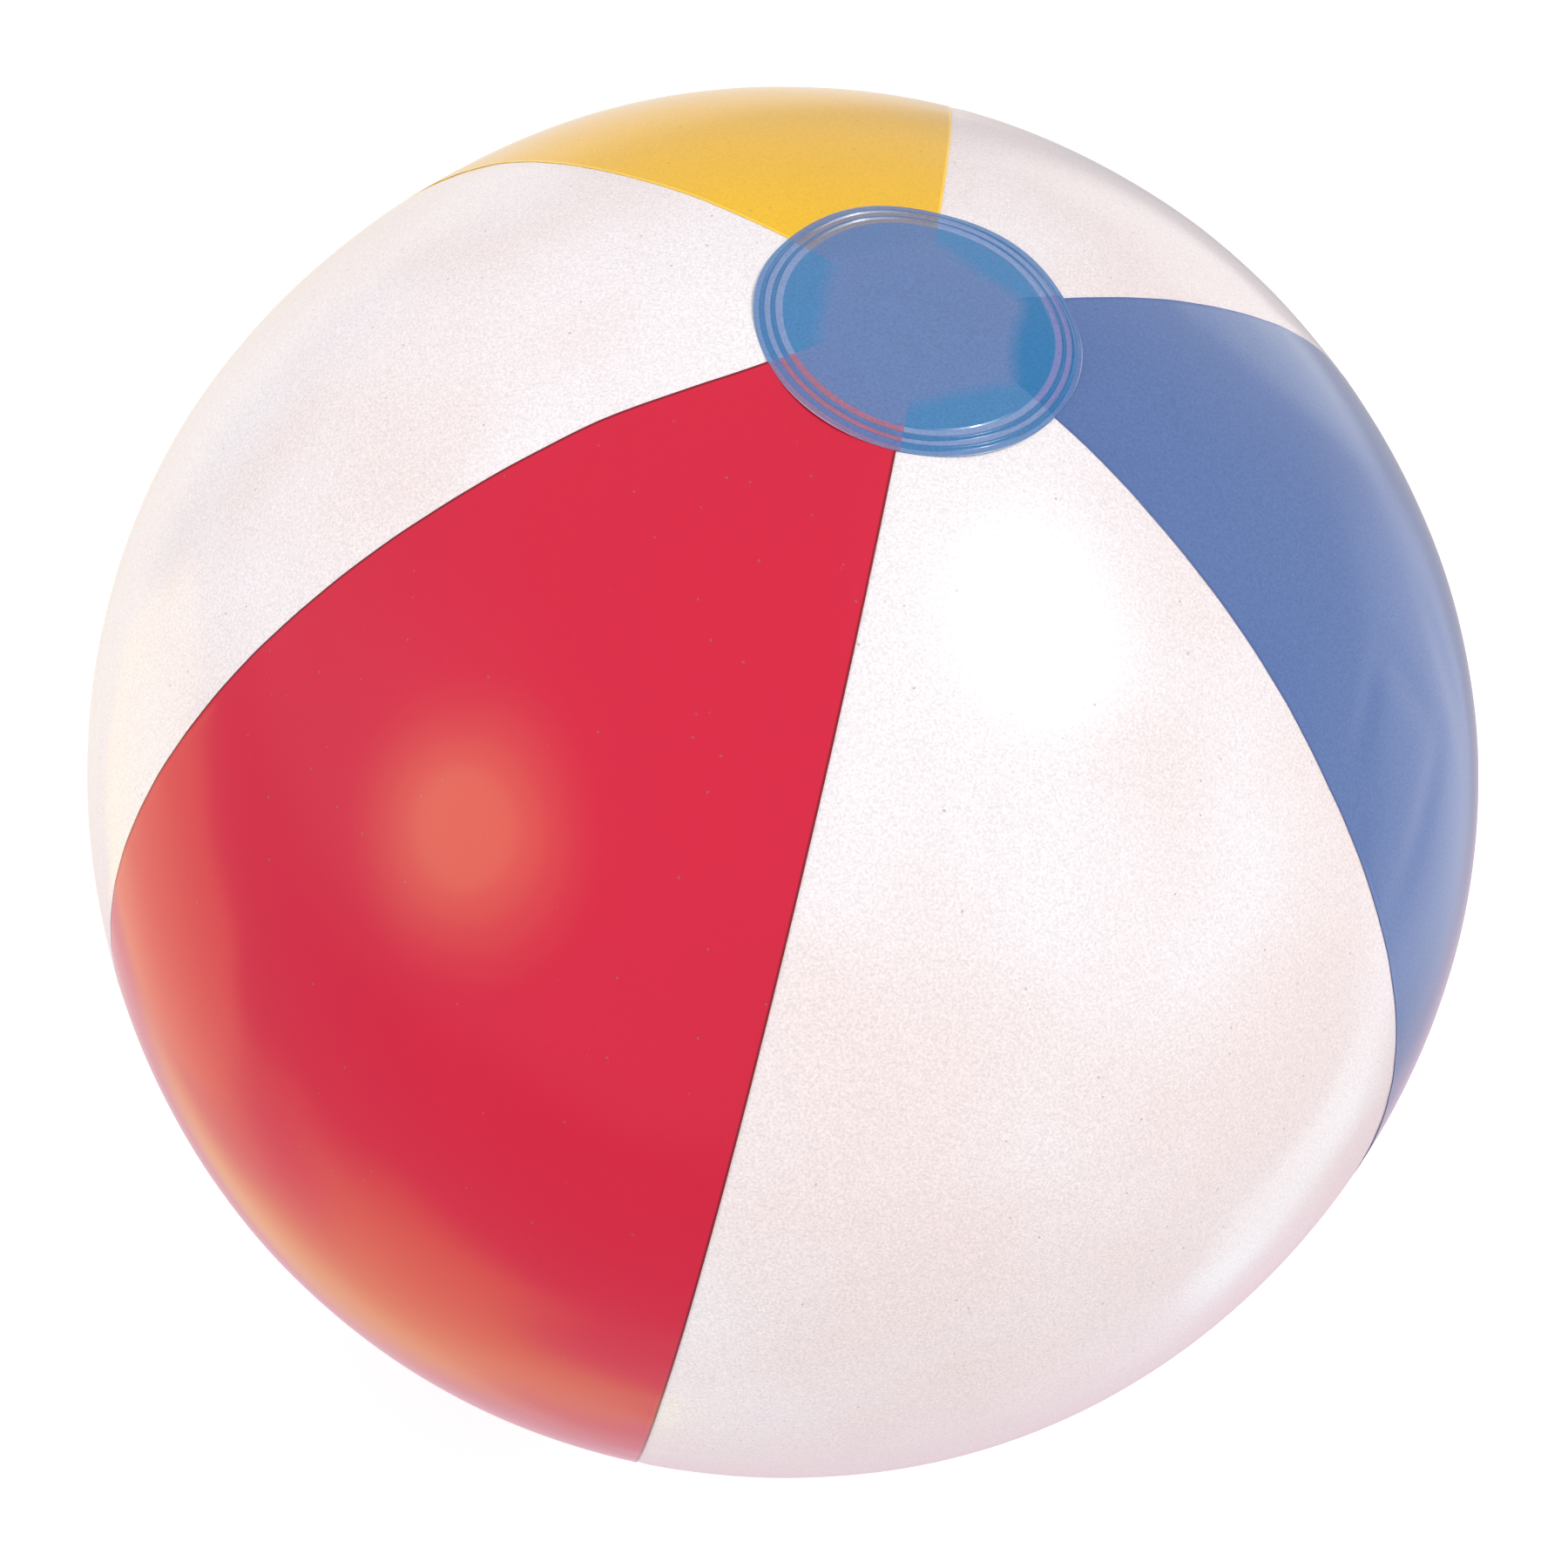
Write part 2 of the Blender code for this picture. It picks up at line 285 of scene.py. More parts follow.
def disc_material():
    """Translucent blue film. The gores' tips under it, and the welds to them, show through. Its grooves
    carry painted shade and its rim a painted highlight.
    """
    nodes = material_nodes("disc_blue_film")
    grain = film_surface(nodes, 0.045)
    split = nodes.add("ShaderNodeSeparateXYZ")
    nodes.put(split.inputs[0], nodes.place)
    x, y = split.outputs[0], split.outputs[1]
    squares = nodes.math("MULTIPLY", x, x), nodes.math("MULTIPLY", y, y)
    reach = nodes.math("SQRT", nodes.math("ADD", *squares))
    share = nodes.math("DIVIDE", reach, DISC_RADIUS)
    angle = nodes.math("DIVIDE", nodes.math("ARCTAN2", y, x), 2 * pi)
    edges = [seam_azimuth(i, pi / 2) / (2 * pi) for i in range(-1, 5)]
    turn = nodes.math("FRACT", nodes.math("ADD", angle, 1 - edges[0]))

    def by_gore(blue, white, yellow, red):
        """One colour for each gore, by azimuth."""
        colours = (blue, white, yellow, white, red, white)
        return nodes.ramp(turn, [(e - edges[0], c) for e, c in zip(edges, colours)], "CONSTANT")

    def line(*stops):
        """A grey that follows the distance from the pole, between 0.8 and 1 of the radius."""
        place = nodes.math("MULTIPLY_ADD", share, 5, -4, clamp=True)
        return nodes.ramp(place, [((position - 0.8) * 5, grey) for position, grey in stops], "LINEAR")

    inside = srgb(98, 125, 172)
    tips = by_gore(srgb(36, 116, 170), srgb(68, 127, 177), srgb(92, 122, 169), srgb(98, 123, 171))
    fused = by_gore(srgb(118, 128, 182), srgb(128, 152, 194), srgb(134, 134, 148), srgb(164, 108, 132))
    ridge = by_gore(srgb(34, 112, 170), srgb(64, 122, 174), srgb(90, 122, 172), srgb(92, 118, 172))
    folded = nodes.math("SUBTRACT", nodes.math("FRACT", nodes.math("MULTIPLY_ADD", angle, 6, 6.5)), 0.5)
    across = nodes.math("COSINE", nodes.math("MULTIPLY", folded, GORE_ANGLE))
    hexagon = nodes.math("MULTIPLY", across, share)
    opening = nodes.math("ADD", hexagon, nodes.math("MULTIPLY_ADD", nodes.noise(60, 1), 0.08, -0.04))
    colour = nodes.mix(nodes.ramp(opening, ((0.51, 0.0), (0.66, 1.0))), inside, tips)
    (a, b), (c, d), (e, _) = WELD_BANDS
    welded = line((a - 0.003, 0), (a + 0.003, 1), (b - 0.002, 1), (b + 0.001, 0),
                  (c - 0.001, 0), (c + 0.002, 1), (d - 0.002, 1), (d + 0.001, 0),
                  (e - 0.001, 0), (e + 0.003, 0.55))
    raised = line((b - 0.001, 0), (b + 0.002, 1), (c - 0.002, 1), (c + 0.001, 0),
                  (d - 0.001, 0), (d + 0.002, 1), (e - 0.002, 1), (e + 0.001, 0.3))
    # Painted shade: dark lines where the ridges meet the weld bands, and just inside the rim.
    shade = line((b - 0.002, 1), (b + 0.001, 0.72), (b + 0.006, 1), (c - 0.006, 1), (c - 0.001, 0.8),
                 (c + 0.002, 1), (d - 0.002, 1), (d + 0.001, 0.72), (d + 0.006, 1), (e - 0.005, 1),
                 (e, 0.82), (e + 0.004, 1), (0.984, 1), (0.988, 0.84), (0.993, 1))
    colour = nodes.mix(raised, colour, ridge)
    colour = nodes.mix(welded, colour, fused)
    colour = nodes.mix(1.0, colour, shade, "MULTIPLY")
    # Painted highlight: a pale line round the disc's outer edge.
    rim = line((0.987, 0), (0.994, 0.35))
    colour = nodes.mix(rim, colour, srgb(214, 218, 230))
    return nodes.set(Base_Color=speckled(nodes, colour, grain, 0.19))


def valve_material():
    """Soft moulded vinyl, milky and satin."""
    nodes = material_nodes("valve_soft_vinyl")
    colour = nodes.mix(nodes.noise(180, 2), srgb(232, 232, 228), srgb(240, 240, 238))
    nodes.set(
        Base_Color=colour,
        Roughness=nodes.math("MULTIPLY_ADD", nodes.noise(300, 2), 0.12, 0.28),
        IOR=1.5,
        Subsurface_Weight=0.3,
        Subsurface_Scale=0.002,
        Coat_Weight=0.3,
        Coat_Roughness=0.2,
    )
    return nodes.set(Normal=nodes.bump(nodes.noise(900, 2), 0.15, 0.00005))


# ---------------------------------------------------------------------------
# The blown-up film
# ---------------------------------------------------------------------------
def seam_azimuth(i, latitude):
    """Azimuth of seam i, which wanders a little between its stations. The southern ones are guesses."""
    _, disc, high_north, north, equator = SEAMS[i % 6]
    stations = ((-78, disc), (-45, 0), (0, equator), (45, north), (66, high_north), (78, disc))
    degrees = latitude / radians(1)
    stray = disc
    for (low, first), (high, second) in zip(stations, stations[1:]):
        if low <= degrees < high:
            share = (degrees - low) / (high - low)
            stray = first + (second - first) * (share + smooth_step(0, 1, share)) / 2
    return i * GORE_ANGLE + GORE_ANGLE / 2 + radians(stray)


def gore_at(azimuth, latitude):
    """The index of the gore in one direction, and the azimuths of its two edges."""
    i = round(azimuth / GORE_ANGLE)
    for gore in (i, i - 1, i + 1):
        low, high = seam_azimuth(gore - 1, latitude), seam_azimuth(gore, latitude)
        if low <= azimuth <= high:
            return gore, low, high
    return i, low, high


def lobe(height, seam_height, share, reach):
    """Height of the film over the mean radius, from a gore's middle (share 0) to a seam (share 1)."""
    fade = smooth_step(DISC_RADIUS * 0.6, DISC_RADIUS + LOBE_RISE, reach)
    return MM * fade * (height + (seam_height - height) * (1 - cos(pi * min(share, 1))) / 2)


def puckers(seam, along, distance):
    """Small gathers beside a seam, where flat film is drawn into a round ball."""
    reach = 8 * MM
    if distance > 3 * reach:
        return 0.0
    fade = exp(-((distance / reach) ** 2))
    wave = sin(2 * pi * along / (17 * MM) + 1.7 * seam)
    wave += 0.7 * sin(2 * pi * along / (26.3 * MM) + 2.9 * seam)
    wave += 0.5 * sin(2 * pi * along / (41 * MM) + 0.8 * seam)
    return 0.03 * MM * fade * wave


def sag(direction):
    """Broad, slight unevenness of the whole film."""
    return 0.28 * MM * noise.noise(direction * 3.1) + 0.10 * MM * noise.noise(direction * 8.0)


def direction_of(azimuth, latitude):
    return Vector((cos(latitude) * cos(azimuth), cos(latitude) * sin(azimuth), sin(latitude)))


# Soft handling creases in the blue gore: both ends (azimuth, latitude in degrees), width and
# depth (mm).
CREASES = (
    ((-12, 47), (-25, 44), 4.5, 0.40),
    ((-10, 47), (-9, 38), 5.0, 0.45),
    ((-9, 36), (-25, 32), 6.0, 0.55),
    ((-4, 30), (2, 42), 6.0, 0.40),
)


def creases(direction):
    """How far the film is pressed in along its creases."""
    depth = 0.0
    for first, last, width, deepest in CREASES:
        start, end = (direction_of(radians(a), radians(b)) for a, b in (first, last))
        span = end - start
        share = min(max((direction - start).dot(span) / span.length_squared, 0), 1)
        away = BALL_RADIUS * (direction - start - share * span).length / (width * MM)
        if away < 3:
            depth += deepest * MM * exp(-away * away) * (0.4 + 0.6 * sin(pi * share))
    return depth


def film_radius(azimuth, latitude):
    """Radius of the blown-up film in one direction, apart from its laps."""
    reach = BALL_RADIUS * cos(latitude)
    gore, low, high = gore_at(azimuth, latitude)
    half, offset = (high - low) / 2, azimuth - (high + low) / 2
    share = abs(offset) / half
    seam = (gore if offset > 0 else gore - 1) % 6
    direction = direction_of(azimuth, latitude)
    bulge = lobe(GORES[gore % 6][2], SEAMS[seam][0], share, reach)
    radius = BALL_RADIUS - creases(direction) + bulge + sag(direction)
    return radius + puckers(seam, BALL_RADIUS * latitude, (1 - share) * half * reach)


# Distances of a gore's columns from its cut edge or from the seam, and of a lap's columns (mm).
EDGE_STEPS = (0.0, 0.12, 0.25, 0.4, 0.6, 0.9, 1.3, 1.8, 2.4, 3.2, 4.4, 6.2, 8.6)
LAP_STEPS = (-4.0, -2.6, -1.2, -0.4)
MIDDLE_COLUMNS = 24
ROWS = 260


def columns_of(half_width, on_top):
    """Distances of a gore's columns from one of its seams, up to its middle."""
    steps = [step * MM for step in (() if on_top else LAP_STEPS) + EDGE_STEPS]
    last = steps[-1]
    steps += [last + (half_width - last) * i / MIDDLE_COLUMNS for i in range(1, MIDDLE_COLUMNS + 1)]
    return steps


def edge_offset(distance, on_top):
    """How far the film stands off its smooth surface beside a seam."""
    if on_top:
        bead = 0.03 * MM * bump_at(distance, 0.15 * MM, 0.7 * MM)
        press = 0.03 * MM * bump_at(distance, 1.5 * MM, 2.4 * MM)
        return bead - press
    return -(FILM + 0.03 * MM) * (1 - smooth_step(0.4 * MM, 5 * MM, distance))


def gore_sheet(name, gore, on_top):
    """The open outer sheet of one gore, with each point's distance from the nearest cut."""
    sheet = bmesh.new()
    layer = sheet.verts.layers.float.new("edge_distance")
    highest = pi / 2 - asin(TIP_DISTANCE / BALL_RADIUS)
    grid = []
    for row in range(ROWS + 1):
        along = 2 * row / ROWS - 1
        nominal = along * highest
        reach = BALL_RADIUS * cos(nominal)
        low, high = seam_azimuth(gore - 1, nominal), seam_azimuth(gore, nominal)
        half = columns_of((high - low) / 2 * reach, on_top)
        places = [low + d / reach for d in half] + [high - d / reach for d in half[-2::-1]]
        line = []
        for place, distance in zip(places, half + half[-2::-1]):
            turned = place - gore * GORE_ANGLE
            tip = asin(min(TIP_DISTANCE / cos(turned) / BALL_RADIUS, 1))
            latitude = along * (pi / 2 - tip)
            side = gore - 1 if place < (low + high) / 2 else gore
            azimuth = place + seam_azimuth(side, latitude) - seam_azimuth(side, nominal)
            radius = film_radius(azimuth, latitude) + edge_offset(distance, on_top)
            flat = radius * cos(latitude)
            corner = sheet.verts.new((flat * cos(azimuth), flat * sin(azimuth), radius * sin(latitude)))
            corner[layer] = max(distance, 0) / MM if on_top else 1.0
            line.append(corner)
        grid.append(line)
    for lower, upper in zip(grid, grid[1:]):
        for i in range(len(lower) - 1):
            sheet.faces.new((lower[i], lower[i + 1], upper[i + 1], upper[i]))
    mesh = bpy.data.meshes.new(name)
    sheet.to_mesh(mesh)
    sheet.free()
    return mesh


def add_gore(gore, material):
    """One gore, which stands for its CAD node."""
    name, on_top, _ = GORES[gore]
    piece = new_object(name + "_film", gore_sheet(name, gore, on_top), material)
    thicken(piece)
    if name == VALVE_GORE:
        cut_round_hole(piece)
    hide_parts(name)
    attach(piece, "ball")
    return piece


# ---------------------------------------------------------------------------
# The polar discs
# ---------------------------------------------------------------------------
RIDGES = (0.880, 0.9445)  # these four are in shares of the disc's radius
RIDGE_WIDTH = 0.032
BAND_SLOPE = 0.006  # half the width over which the disc sinks into a weld band
RIM_SHARE = 0.992  # how far the film reaches out on average
DISC_SPOKES = 216


def disc_rings():
    """Shares of the radius at which the disc has a ring of points."""
    coarse = [i / 16 * 0.80 for i in range(1, 17)]
    fine = [0.80 + i * 0.0035 for i in range(1, 57)]
    return coarse + fine + [1.0]


def disc_relief(share):
    """Height of the disc over the film under it."""
    height = 0.30 * MM
    for low, high in WELD_BANDS:
        started = smooth_step(low - BAND_SLOPE, low + BAND_SLOPE, share)
        inside = started * (1 - smooth_step(high - BAND_SLOPE, high + BAND_SLOPE, share))
        height -= 0.16 * MM * inside
    for middle in RIDGES:
        height += 0.34 * MM * bump_at(share, middle, RIDGE_WIDTH)
    return height


def disc_sheet(name):
    """The open outer sheet of the upper disc."""
    sheet = bmesh.new()
    flat_radius = sqrt((BALL_RADIUS + 0.5 * MM) ** 2 - DISC_FLAT_HEIGHT**2)
    rings = []
    for share in disc_rings():
        ring = []
        for spoke in range(DISC_SPOKES):
            azimuth = 2 * pi * spoke / DISC_SPOKES
            wave = cos(6 * azimuth)
            reach = share * DISC_RADIUS * (RIM_SHARE + 0.005 * wave * smooth_step(0.5, 1, share))
            latitude = pi / 2 - asin(reach / BALL_RADIUS)
            radius = film_radius(azimuth, latitude) + disc_relief(share) + FILM
            height = radius * sin(latitude)
            height += 0.25 * MM * wave * smooth_step(0.6, 1, share)
            flat = smooth_step(flat_radius * 0.8, flat_radius * 1.45, reach)
            height = DISC_FLAT_HEIGHT + (height - DISC_FLAT_HEIGHT) * flat
            ring.append(sheet.verts.new((reach * cos(azimuth), reach * sin(azimuth), height)))
        rings.append(ring)
    centre = sheet.verts.new((0, 0, DISC_FLAT_HEIGHT))
    for i in range(DISC_SPOKES):
        sheet.faces.new((centre, rings[0][i], rings[0][(i + 1) % DISC_SPOKES]))
    for inner, outer in zip(rings, rings[1:]):
        for i in range(DISC_SPOKES):
            j = (i + 1) % DISC_SPOKES
            sheet.faces.new((inner[i], outer[i], outer[j], inner[j]))
    mesh = bpy.data.meshes.new(name)
    sheet.to_mesh(mesh)
    sheet.free()
    return mesh


def add_disc(name, upper, material):
    """One polar disc, which stands for its CAD node. The lower one is the upper one mirrored."""
    mesh = disc_sheet(name)
    if not upper:
        mesh.transform(Matrix.Scale(-1, 4, (0, 0, 1)))
        mesh.flip_normals()
    piece = new_object(name + "_film", mesh, material)
    thicken(piece)
    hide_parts(name)
    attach(piece, "ball")
    return piece


# ---------------------------------------------------------------------------
# The valve, in its own frame: out is the distance outward from the film
# ---------------------------------------------------------------------------
VALVE_GORE = "gore_white_left"
HOLE_RADIUS = 12 * MM
PATCH_RADIUS = 21 * MM
PATCH_SPOKES = 160
PATCH_RINGS = 72
WELD_MARKS = (14.4 * MM, 16.6 * MM, 18.8 * MM)  # radii of the round tool's marks
WELD_MARK_DEPTH = 0.30 * MM
WELD_MARK_WIDTH = 1.4 * MM
RIM_ROLL = 0.9 * MM  # how far the film rolls down into the hole
STEM_MOUTH = -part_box("valve_stem")[0][0] - CROWN_RADIUS
STEM_FOOT = -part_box("valve_stem")[1][0] - CROWN_RADIUS
PLUG_FACE = -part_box("valve_plug")[0][0] - CROWN_RADIUS
PLUG_TIP = -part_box("valve_plug")[1][0] - CROWN_RADIUS
HEAD_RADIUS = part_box("valve_plug")[1][1]
COLLAR_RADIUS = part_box("valve_stem")[1][1]
FLANGE_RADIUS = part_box("valve_flange")[1][1]
FLAP_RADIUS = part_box("valve_flap")[1][1]
BORE_RADIUS = 3.5 * MM
TUBE_RADIUS = 4.8 * MM
LIP_RADIUS = 5.2 * MM
STOPPER_RADIUS = 3.1 * MM
LATHE_STEPS = 96
ROUNDING_STEPS = 5
TO_BALL = Matrix.Translation((-CROWN_RADIUS, 0, 0)) @ Matrix.Rotation(-pi / 2, 4, "Y")


def rounded(profile, radius):
    """Round the corners of a closed profile of (reach, out) points that aren't on the axis."""
    result = []
    count = len(profile)
    for i, (x, y) in enumerate(profile):
        if x <= 0:
            result.append((x, y))
            continue
        before, after = profile[i - 1], profile[(i + 1) % count]
        ends = []
        for other in (before, after):
            length = hypot(other[0] - x, other[1] - y)
            share = min(radius / length, 0.45)
            ends.append((x + (other[0] - x) * share, y + (other[1] - y) * share))
        for step in range(ROUNDING_STEPS + 1):
            t = step / ROUNDING_STEPS
            near, middle, far = (1 - t) ** 2, 2 * t * (1 - t), t * t
            result.append(
                tuple(near * ends[0][k] + middle * (x, y)[k] + far * ends[1][k] for k in (0, 1))
            )
    return result


def lathe(name, profile, material, node, closed=True):
    """Turn a profile round the valve's axis. It runs down the outer side."""
    mesh = bpy.data.meshes.new(name)
    edges = [(i, i + 1) for i in range(len(profile) - 1)]
    if closed:
        edges.append((len(profile) - 1, 0))
    mesh.from_pydata([(reach, 0, out) for reach, out in profile], edges, [])
    piece = new_object(name, mesh, material, smooth=False)
    screw = piece.modifiers.new("turn", "SCREW")
    screw.angle = 2 * pi
    screw.steps = screw.render_steps = LATHE_STEPS
    screw.use_merge_vertices = True
    screw.merge_threshold = 0.000001
    screw.use_smooth_shade = True
    apply_modifiers(piece)
    piece.data.transform(TO_BALL)
    finish_valve_piece(piece, node)
    return piece


def finish_valve_piece(piece, node):
    """Smooth a piece of the valve, and let it stand for its CAD node."""
    piece.data.shade_smooth()
    piece.data.set_sharp_from_angle(angle=radians(40))
    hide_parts(node)


def cut_round_hole(piece):
    """Cut away the film where the welded ring round the valve takes its place."""
    bpy.ops.mesh.primitive_cylinder_add(vertices=PATCH_SPOKES, radius=PATCH_RADIUS, depth=0.02)
    cutter = bpy.context.object
    cutter.matrix_world = TO_BALL
    cut = piece.modifiers.new("valve_hole", "BOOLEAN")
    cut.operation = "DIFFERENCE"
    cut.solver = "EXACT"
    cut.object = cutter
    bpy.context.view_layer.update()
    apply_modifiers(piece)
    bpy.data.objects.remove(cutter, do_unlink=True)
    for place in piece.data.attributes["edge_distance"].data:
        place.value = 1.0


def patch_relief(reach):
    """Marks that the round welding tool leaves in the film over the flange."""
    relief = 0.0
    for middle in WELD_MARKS:
        relief -= WELD_MARK_DEPTH * bump_at(reach, middle, WELD_MARK_WIDTH)
    return relief


def add_valve_patch(material):
    """The ring of film over the valve's flange, with its weld marks and rolled edge."""
    sheet = bmesh.new()
    rings = []
    for ring in range(PATCH_RINGS + 1):
        reach = HOLE_RADIUS + (PATCH_RADIUS - HOLE_RADIUS) * ring / PATCH_RINGS
        rolled = (1 - smooth_step(HOLE_RADIUS - 1.5 * MM, HOLE_RADIUS + 1.5 * MM, reach)) ** 2
        points = []
        for spoke in range(PATCH_SPOKES):
            angle = 2 * pi * spoke / PATCH_SPOKES
            y, z = reach * cos(angle), reach * sin(angle)
            latitude = asin(z / BALL_RADIUS)
            azimuth = pi - asin(y / (BALL_RADIUS * cos(latitude)))
            radius = film_radius(azimuth, latitude) + patch_relief(reach)
            radius -= RIM_ROLL * rolled
            points.append(sheet.verts.new((-sqrt(radius**2 - reach**2), y, z)))
        rings.append(points)
    for inner, outer in zip(rings, rings[1:]):
        for i in range(PATCH_SPOKES):
            j = (i + 1) % PATCH_SPOKES
            sheet.faces.new((inner[i], inner[j], outer[j], outer[i]))
    mesh = bpy.data.meshes.new("valve_weld_patch")
    layer = sheet.verts.layers.float.new("edge_distance")
    for corner in sheet.verts:
        corner[layer] = 1.0
    bmesh.ops.recalc_face_normals(sheet, faces=sheet.faces)
    sheet.to_mesh(mesh)
    sheet.free()
    if mesh.polygons[0].normal.x > 0:
        mesh.flip_normals()
    piece = new_object("valve_weld_patch", mesh, material)
    thicken(piece)
    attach(piece, "ball")


def add_strap(material):
    """The strap of the plug: a flat band bent into a U from the plug's head to the lip."""
    bend, bend_steps = 1.2 * MM, 24
    low = Vector((-5.0 * MM, 0, STEM_MOUTH - bend))
    high = Vector((-4.7 * MM, 0, STEM_MOUTH + bend))
    centre = Vector((-6.1 * MM, 0, STEM_MOUTH))
    path = [high]
    for step in range(bend_steps + 1):
        angle = pi / 2 + pi * step / bend_steps
        path.append(centre + Vector((bend * cos(angle), 0, bend * sin(angle))))
    path.append(low)
    width, thickness, corner_radius = 3.0 * MM, 0.7 * MM, 0.25 * MM
    section = []
    for corner, (side, face) in enumerate(((1, 1), (-1, 1), (-1, -1), (1, -1))):
        for step in range(4):
            angle = pi / 2 * (corner + step / 3)
            across = side * (width / 2 - corner_radius) + corner_radius * cos(angle)
            deep = face * (thickness / 2 - corner_radius) + corner_radius * sin(angle)
            section.append((across, deep))
    band = bmesh.new()
    rows = []
    for i, point in enumerate(path):
        ahead = path[min(i + 1, len(path) - 1)] - path[max(i - 1, 0)]
        ahead.normalize()
        up = ahead.cross(Vector((0, 1, 0)))
        rows.append([band.verts.new(point + Vector((0, a, 0)) + up * b) for a, b in section])
    for first, second in zip(rows, rows[1:]):
        for i in range(len(section)):
            j = (i + 1) % len(section)
            band.faces.new((first[i], first[j], second[j], second[i]))
    band.faces.new(rows[0][::-1])
    band.faces.new(rows[-1])
    bmesh.ops.recalc_face_normals(band, faces=band.faces)
    mesh = bpy.data.meshes.new("plug_strap")
    band.to_mesh(mesh)
    band.free()
    mesh.transform(TO_BALL)
    piece = new_object("plug_strap", mesh, material)
    finish_valve_piece(piece, "plug_tether")
    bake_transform(piece)


def add_flange(material):
    """The flange ring, welded behind the film round the hole."""
    top, bore = -1.2 * MM, HOLE_RADIUS - 0.5 * MM
    flange = rounded(
        (
            (bore, top),
            (FLANGE_RADIUS, top - 0.55 * MM),
            (FLANGE_RADIUS, top - 1.35 * MM),
            (bore, top - 0.8 * MM),
        ),
        0.3 * MM,
    )
    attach(lathe("valve_flange_ring", flange, material, "valve_flange"), "ball")


def add_membrane(material):
    """The thin cone from the flange to the stem's foot. On the real valve it stretches as the stem
    slides; this mesh stays fixed.
    """
    rim, foot = HOLE_RADIUS - 0.7 * MM, COLLAR_RADIUS - 0.4 * MM
    high, low = -1.25 * MM, STEM_FOOT + 1.8 * MM
    thickness, steps = 0.4 * MM, 24
    outer, inner = [], []
    for step in range(steps + 1):
        share = step / steps
        out = high + (low - high) * share
        swell = 0.5 * MM * sin(pi * share) + 0.12 * MM * sin(6 * pi * share)
        reach = rim + (foot - rim) * share + swell
        outer.append((reach, out))
        inner.append((reach - thickness, out))
    membrane = lathe("valve_skirt", outer + inner[::-1], material, "valve_membrane")
    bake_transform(membrane)


def add_stem(material):
    """The tube, with a lip at its mouth and a collar at its foot."""
    stem = rounded(
        (
            (BORE_RADIUS, STEM_MOUTH),
            (LIP_RADIUS, STEM_MOUTH),
            (LIP_RADIUS, STEM_MOUTH - 2.0 * MM),
            (TUBE_RADIUS, STEM_MOUTH - 2.4 * MM),
            (TUBE_RADIUS, STEM_FOOT + 1.6 * MM),
            (COLLAR_RADIUS, STEM_FOOT + 1.3 * MM),
            (COLLAR_RADIUS, STEM_FOOT),
            (BORE_RADIUS, STEM_FOOT),
        ),
        0.35 * MM,
    )
    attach(lathe("valve_stem_tube", stem, material, "valve_stem"), "stem")


def add_plug(material):
    """The plug, a dished head on a stopper with a tapered end."""
    seat, dish = STEM_MOUTH + 0.3 * MM, PLUG_FACE - 0.35 * MM
    profile = (
        (0, dish),
        (2.9 * MM, dish),
        (3.5 * MM, PLUG_FACE),
        (HEAD_RADIUS, PLUG_FACE),
        (HEAD_RADIUS, seat),
        (STOPPER_RADIUS, seat),
        (STOPPER_RADIUS, seat - 2.0 * MM),
        (2.3 * MM, PLUG_TIP),
        (0, PLUG_TIP),
    )
    plug = rounded(profile, 0.45 * MM)
    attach(lathe("valve_plug_stopper", plug, material, "valve_plug", closed=False), "plug")


def add_flap(material):
    """The check flap over the stem's inner end."""
    top, thickness = STEM_FOOT - 0.3 * MM, 0.3 * MM
    foot = top - thickness
    flap = rounded(((0, top), (FLAP_RADIUS, top), (FLAP_RADIUS, foot), (0, foot)), 0.1 * MM)
    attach(lathe("valve_check_flap", flap, material, "valve_flap", closed=False), "flap")


# ---------------------------------------------------------------------------
# Floor, lights and camera
# ---------------------------------------------------------------------------
ROOM = (0.66, 0.65, 0.69, 1.0)
WALL = (0.50, 0.48, 0.52, 1.0)
GROUND = (0.79, 0.61, 0.68, 1.0)

# Patches of the room that the ball mirrors: azimuth and elevation (degrees), how ragged the edge
# is, the nearness at which the patch starts and at which it is full, and its colour.
ROOM_PATCHES = (
    (-142, -64, 0.30, 0.84, 0.99, (1.20, 1.13, 0.62, 1.0)),
    (115, -34, 0.08, 0.84, 0.94, (0.94, 0.86, 0.80, 1.0)),
    (171, -38, 0.08, 0.925, 0.955, (1.20, 0.98, 0.66, 1.0)),
    (68, -11, 0.08, 0.955, 0.99, (1.0, 1.0, 1.02, 1.0)),
    (9, -41, 0.08, 0.965, 0.992, (0.98, 1.15, 1.25, 1.0)),
    (32, -20, 0.08, 0.90, 0.975, (0.88, 0.88, 1.0, 1.0)),
)


def add_floor():
    """A plain white floor. The ball is lit by the room and its ground instead of by the floor."""
    bpy.ops.mesh.primitive_circle_add(vertices=128, radius=6, fill_type="NGON")
    floor = bpy.context.object
    floor.name = "floor"
    floor.location = (0, 0, FLOOR_HEIGHT)
    floor.visible_glossy = False
    floor.visible_diffuse = False
    floor.visible_shadow = False
    nodes = material_nodes("pale_floor")
    nodes.set(
        Base_Color=srgb(190, 189, 189),
        Roughness=0.8,
        Specular_IOR_Level=0.0,
        Emission_Color=(1.0, 0.99, 0.98, 1.0),
        Emission_Strength=0.72,
    )
    floor.data.materials.append(nodes.owner)


